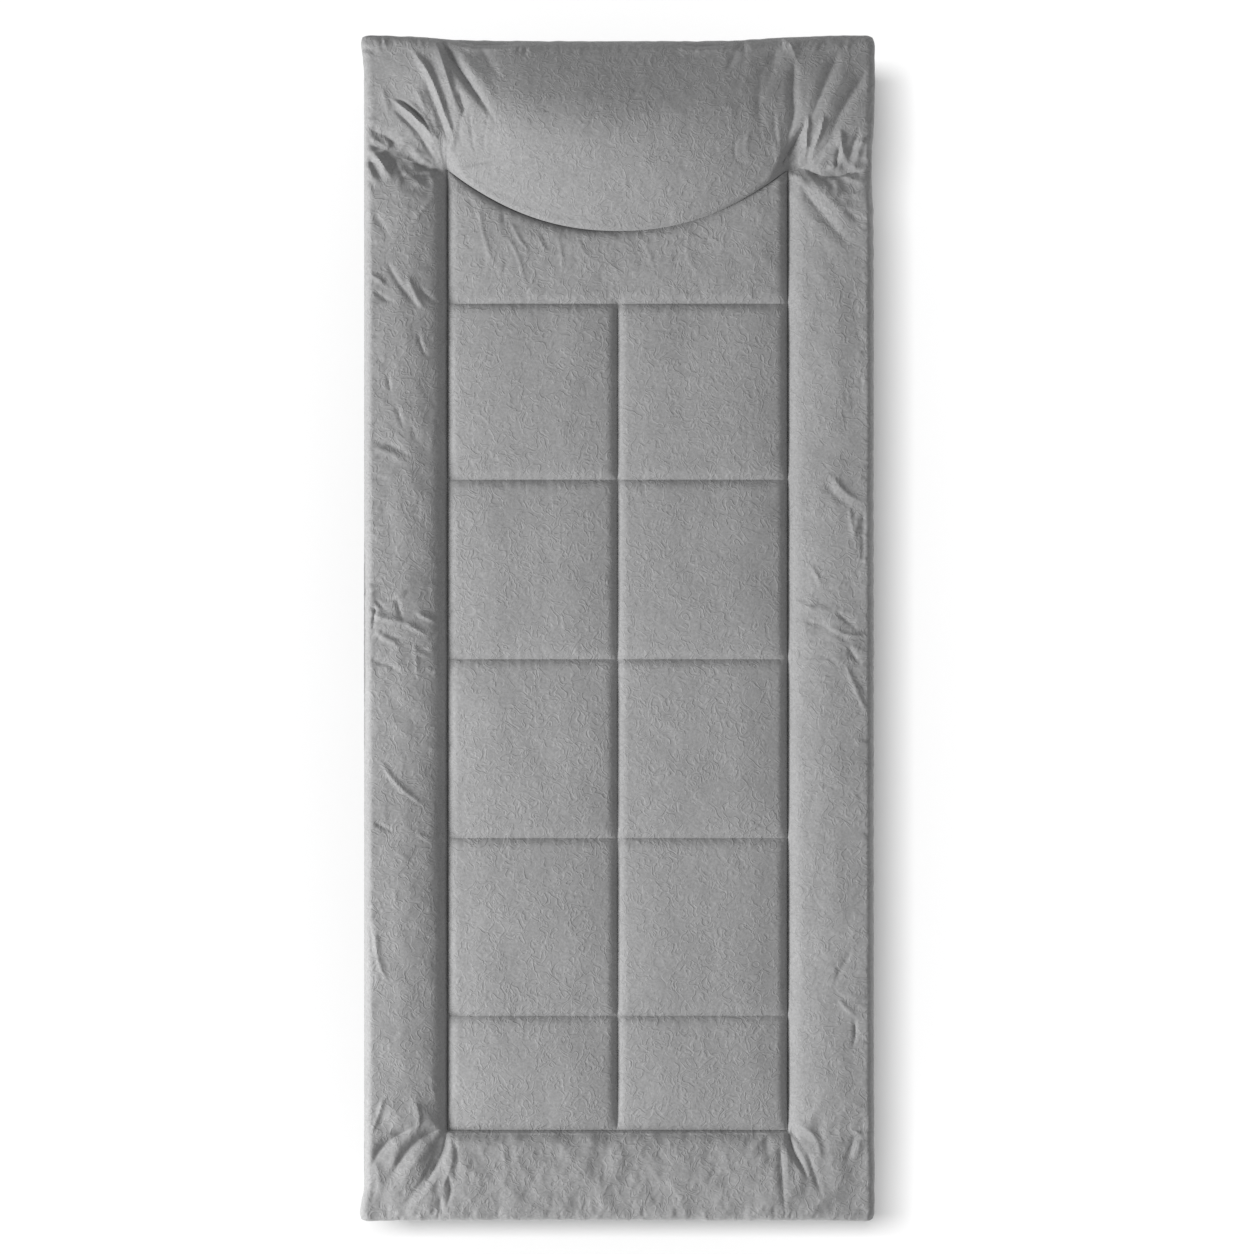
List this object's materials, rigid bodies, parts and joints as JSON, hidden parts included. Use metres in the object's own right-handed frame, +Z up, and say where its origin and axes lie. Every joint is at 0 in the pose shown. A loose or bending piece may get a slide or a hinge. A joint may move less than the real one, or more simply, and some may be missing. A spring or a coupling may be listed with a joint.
{
  "type": "folding camp bed",
  "caption": "Folding camp bed with a quilted, padded cover, side bolsters and a sewn-in pillow, on a tubular frame that folds in half, with splayed U legs.",
  "frame": {"origin": "on the floor, under the middle of the bed's length and width", "axes": "+Y from the foot to the pillow, +Z up, +X across the bed"},
  "size_m": [0.826, 1.898, 0.435],
  "materials": {
    "cover_fabric": "brushed melange",
    "sling_fabric": "woven",
    "coated_steel": "powder coated",
    "zinc_steel": "zinc plated",
    "corner_plastic": "fine texture",
    "glide_plastic": "fine texture"
  },
  "bodies": {
    "foot_section": {"foot_rail_left": "coated_steel", "foot_rail_right": "coated_steel", "foot_corner_left": "corner_plastic", "foot_corner_right": "corner_plastic", "foot_end_tube": "coated_steel", "foot_cross_tube": "coated_steel", "foot_sling": "sling_fabric", "foot_quilt": "cover_fabric", "foot_bolster_left": "cover_fabric", "foot_bolster_right": "cover_fabric", "foot_end_bolster": "cover_fabric", "middle_leg_bracket_left": "zinc_steel", "middle_leg_bracket_right": "zinc_steel", "middle_leg_pin_left": "zinc_steel", "middle_leg_pin_right": "zinc_steel", "foot_leg_bracket_left": "zinc_steel", "foot_leg_bracket_right": "zinc_steel", "foot_leg_pin_left": "zinc_steel", "foot_leg_pin_right": "zinc_steel"},
    "fold_link": {"hinge_channel_left": "zinc_steel", "hinge_channel_right": "zinc_steel", "head_hinge_pin_left": "zinc_steel", "head_hinge_pin_right": "zinc_steel", "foot_hinge_pin_left": "zinc_steel", "foot_hinge_pin_right": "zinc_steel", "hinge_cross_tube": "coated_steel", "fold_sling": "sling_fabric", "fold_quilt": "cover_fabric", "fold_bolster_left": "cover_fabric", "fold_bolster_right": "cover_fabric"},
    "head_section": {"head_rail_left": "coated_steel", "head_rail_right": "coated_steel", "head_corner_left": "corner_plastic", "head_corner_right": "corner_plastic", "head_end_tube": "coated_steel", "head_cross_tube": "coated_steel", "head_sling": "sling_fabric", "head_quilt": "cover_fabric", "head_bolster_left": "cover_fabric", "head_bolster_right": "cover_fabric", "pillow": "cover_fabric", "head_leg_bracket_left": "zinc_steel", "head_leg_bracket_right": "zinc_steel", "head_leg_pin_left": "zinc_steel", "head_leg_pin_right": "zinc_steel"},
    "head_leg": {"head_leg_tube": "coated_steel", "head_leg_glide_left": "glide_plastic", "head_leg_glide_right": "glide_plastic"},
    "middle_leg": {"middle_leg_tube": "coated_steel", "middle_leg_glide_left": "glide_plastic", "middle_leg_glide_right": "glide_plastic"},
    "foot_leg": {"foot_leg_tube": "coated_steel", "foot_leg_glide_left": "glide_plastic", "foot_leg_glide_right": "glide_plastic"}
  },
  "joints": [
    {"name": "foot_fold", "type": "hinge", "parent": "foot_section", "child": "fold_link", "pos_m": [0, -0.075, 0.35], "axis": [1, 0, 0], "range_deg": [0, 90]},
    {"name": "head_fold", "type": "hinge", "parent": "fold_link", "child": "head_section", "pos_m": [0, 0.075, 0.35], "axis": [1, 0, 0], "range_deg": [0, 90]},
    {"name": "head_leg_swing", "type": "hinge", "parent": "head_section", "child": "head_leg", "pos_m": [0, 0.8507, 0.312], "axis": [-1, 0, 0], "range_deg": [0, 98]},
    {"name": "middle_leg_swing", "type": "hinge", "parent": "foot_section", "child": "middle_leg", "pos_m": [0, -0.14, 0.312], "axis": [-1, 0, 0], "range_deg": [0, 98]},
    {"name": "foot_leg_swing", "type": "hinge", "parent": "foot_section", "child": "foot_leg", "pos_m": [0, -0.8507, 0.312], "axis": [1, 0, 0], "range_deg": [0, 98]}
  ],
  "couplings": [
    {"joint": "head_fold", "follows": "foot_fold", "ratio": 1}
  ]
}
